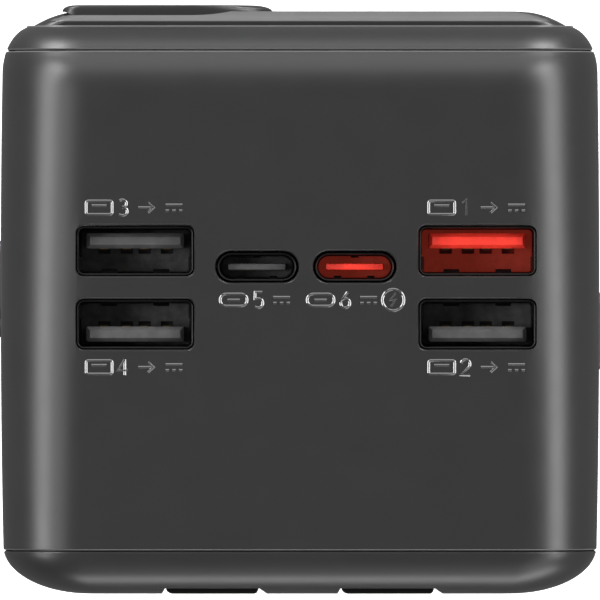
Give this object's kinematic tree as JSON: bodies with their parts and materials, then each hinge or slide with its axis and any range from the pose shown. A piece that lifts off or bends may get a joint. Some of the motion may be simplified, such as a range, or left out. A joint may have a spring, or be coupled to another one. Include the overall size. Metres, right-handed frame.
{
  "type": "universal travel adapter",
  "caption": "Cube-shaped travel adapter: slide-out plugs and a fuse drawer on one face, a shuttered universal socket opposite, USB ports on the end.",
  "frame": {"origin": "centre of the plain end, which the adapter stands on, midway between the socket face and the top of the fuse cap", "axes": "+Z to the port end, +Y to the plug face, -Y to the socket face, X across the two slider sides"},
  "size_m": [0.0686, 0.0658, 0.075],
  "materials": {
    "casing_plastic": "fine satin",
    "knob_plastic": "satin, ribbed",
    "black_plastic": "satin",
    "frame_plastic": "moulded",
    "pad_rubber": "smooth",
    "screw_steel": "plated",
    "spring_steel": "drawn wire",
    "pin_metal": "nickel plated",
    "contact_brass": "stamped",
    "fuse_ceramic": "glazed ceramic",
    "light_pipe_clear": "clear moulding",
    "led_red": "tinted lens",
    "board_green": "solder mask",
    "transformer_tape": "tape wrap",
    "capacitor_sleeve": "shrink sleeve",
    "port_black_metal": "black plated",
    "tongue_black": "moulded",
    "tongue_red": "moulded"
  },
  "bodies": {
    "casing": {"main_shell": "casing_plastic", "plug_cover": "casing_plastic", "socket_cover": "casing_plastic", "case_screws": "screw_steel", "guide_frame": "frame_plastic", "face_pads": "pad_rubber", "socket_insert": "black_plastic", "line_contact": "contact_brass", "neutral_contact": "contact_brass", "shutter_springs": "spring_steel", "line_bus_bar": "contact_brass", "neutral_bus_bar": "contact_brass", "fuse_clips": "contact_brass", "indicator_light_pipe": "light_pipe_clear", "indicator_led": "led_red", "usb_board": "board_green", "usb_transformer": "transformer_tape", "usb_capacitors": "capacitor_sleeve", "usb_a_shell_1": "port_black_metal", "usb_a_shell_2": "port_black_metal", "usb_a_shell_3": "port_black_metal", "usb_a_shell_4": "port_black_metal", "usb_a_tongue_1": "tongue_black", "usb_a_tongue_2": "tongue_black", "usb_a_tongue_3": "tongue_red", "usb_a_tongue_4": "tongue_black", "usb_c_shell_1": "port_black_metal", "usb_c_shell_2": "port_black_metal", "usb_c_tongue_1": "tongue_black", "usb_c_tongue_2": "tongue_red"},
    "uk_carriage": {"uk_carrier": "frame_plastic", "uk_line_pin": "pin_metal", "uk_neutral_pin": "pin_metal", "uk_earth_pin": "black_plastic"},
    "uk_knob": {"uk_knob": "knob_plastic"},
    "eu_carriage": {"eu_carrier": "frame_plastic", "eu_pin_left": "pin_metal", "eu_pin_right": "pin_metal"},
    "eu_knob": {"eu_knob": "knob_plastic"},
    "us_au_carriage": {"us_au_carrier": "frame_plastic"},
    "us_au_knob": {"us_au_knob": "knob_plastic"},
    "blade_left": {"rotor_left": "black_plastic", "blade_left": "pin_metal"},
    "blade_right": {"rotor_right": "black_plastic", "blade_right": "pin_metal"},
    "fuse_drawer": {"fuse_carrier": "knob_plastic", "fuse_body": "fuse_ceramic", "fuse_end_caps": "pin_metal"},
    "shutter": {"shutter": "frame_plastic"}
  },
  "joints": [
    {"name": "uk_slide", "type": "slide", "parent": "casing", "child": "uk_carriage", "axis": [0, 1, 0], "range_m": [0, 0.0231]},
    {"name": "eu_slide", "type": "slide", "parent": "casing", "child": "eu_carriage", "axis": [0, 1, 0], "range_m": [0, 0.0194]},
    {"name": "us_au_slide", "type": "slide", "parent": "casing", "child": "us_au_carriage", "axis": [0, 1, 0], "range_m": [0, 0.0174]},
    {"name": "uk_knob_press", "type": "slide", "parent": "uk_carriage", "child": "uk_knob", "axis": [-1, 0, 0], "range_m": [0, 0.0006], "stiffness_N_per_m": 1500, "springref_m": -0.0001},
    {"name": "eu_knob_press", "type": "slide", "parent": "eu_carriage", "child": "eu_knob", "axis": [1, 0, 0], "range_m": [0, 0.0006], "stiffness_N_per_m": 1500, "springref_m": -0.0001},
    {"name": "us_au_knob_press", "type": "slide", "parent": "us_au_carriage", "child": "us_au_knob", "axis": [1, 0, 0], "range_m": [0, 0.0006], "stiffness_N_per_m": 1500, "springref_m": -0.0001},
    {"name": "blade_left_turn", "type": "hinge", "parent": "us_au_carriage", "child": "blade_left", "pos_m": [-0.0066, 0.0132, 0.0528], "axis": [0, -1, 0], "range_deg": [0, 30]},
    {"name": "blade_right_turn", "type": "hinge", "parent": "us_au_carriage", "child": "blade_right", "pos_m": [0.0066, 0.0132, 0.0528], "axis": [0, 1, 0], "range_deg": [0, 30]},
    {"name": "fuse_drawer_slide", "type": "slide", "parent": "casing", "child": "fuse_drawer", "axis": [0, 1, 0], "range_m": [0, 0.012]},
    {"name": "shutter_slide", "type": "slide", "parent": "casing", "child": "shutter", "axis": [0, 0, 1], "range_m": [0, 0.008], "stiffness_N_per_m": 60, "springref_m": -0.001, "deforming": ["shutter_springs"]}
  ]
}
